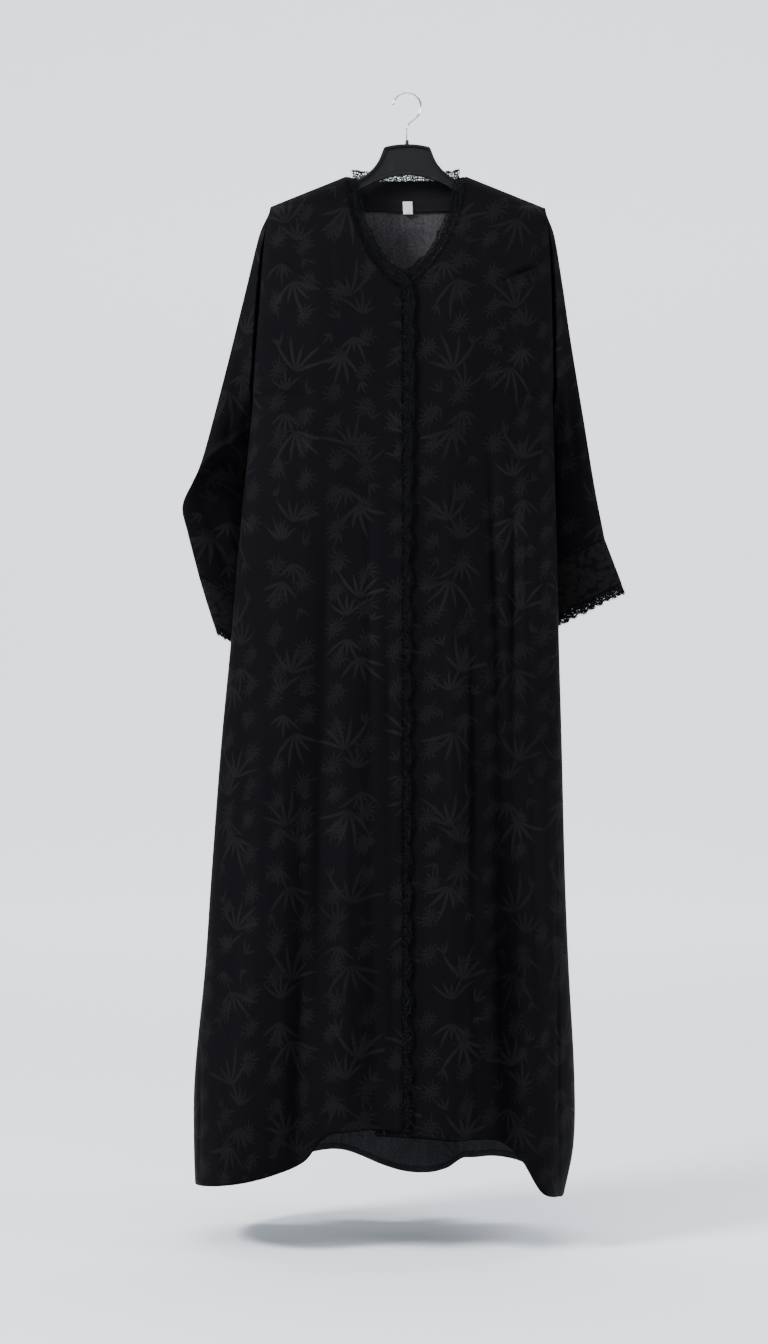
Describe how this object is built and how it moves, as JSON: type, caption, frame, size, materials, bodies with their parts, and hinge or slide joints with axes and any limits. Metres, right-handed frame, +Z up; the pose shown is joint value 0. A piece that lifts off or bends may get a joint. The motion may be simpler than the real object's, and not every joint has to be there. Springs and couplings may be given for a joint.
{
  "type": "abaya cloak on hanger",
  "caption": "Open-front full-length abaya cloak in bamboo-leaf jacquard with lace edges, hanging on a plastic hanger with a wire hook.",
  "frame": {"origin": "inner crown of the hanger's hook, where a rail holds it", "axes": "+Z up, the garment's front faces -Y, the wearer's left side is +X"},
  "size_m": [0.649, 0.2888, 1.6008],
  "materials": {
    "black_jacquard": "black crepe jacquard with a tone-on-tone bamboo leaf pattern, soft satin sheen",
    "black_lace": "matt black corded lace with eyelash edge",
    "black_facing": "plain black woven facing",
    "white_label": "blank white satin label",
    "black_plastic": "satin black moulded plastic",
    "chromed_wire": "polished chromed wire"
  },
  "bodies": {
    "root": {"front_right": "black_jacquard", "front_left": "black_jacquard", "back": "black_jacquard", "sleeve_right": "black_jacquard", "sleeve_left": "black_jacquard", "cuff_right": "black_jacquard", "cuff_left": "black_jacquard", "lace_cuff_right_front": "black_lace", "lace_cuff_right_back": "black_lace", "lace_cuff_left_front": "black_lace", "lace_cuff_left_back": "black_lace", "lace_front_right": "black_lace", "lace_front_left": "black_lace", "lace_neck_back": "black_lace", "neck_facing": "black_facing", "label": "white_label", "hanger_body": "black_plastic", "hook_collar": "black_plastic", "hanger_hook": "chromed_wire"}
  },
  "joints": []
}
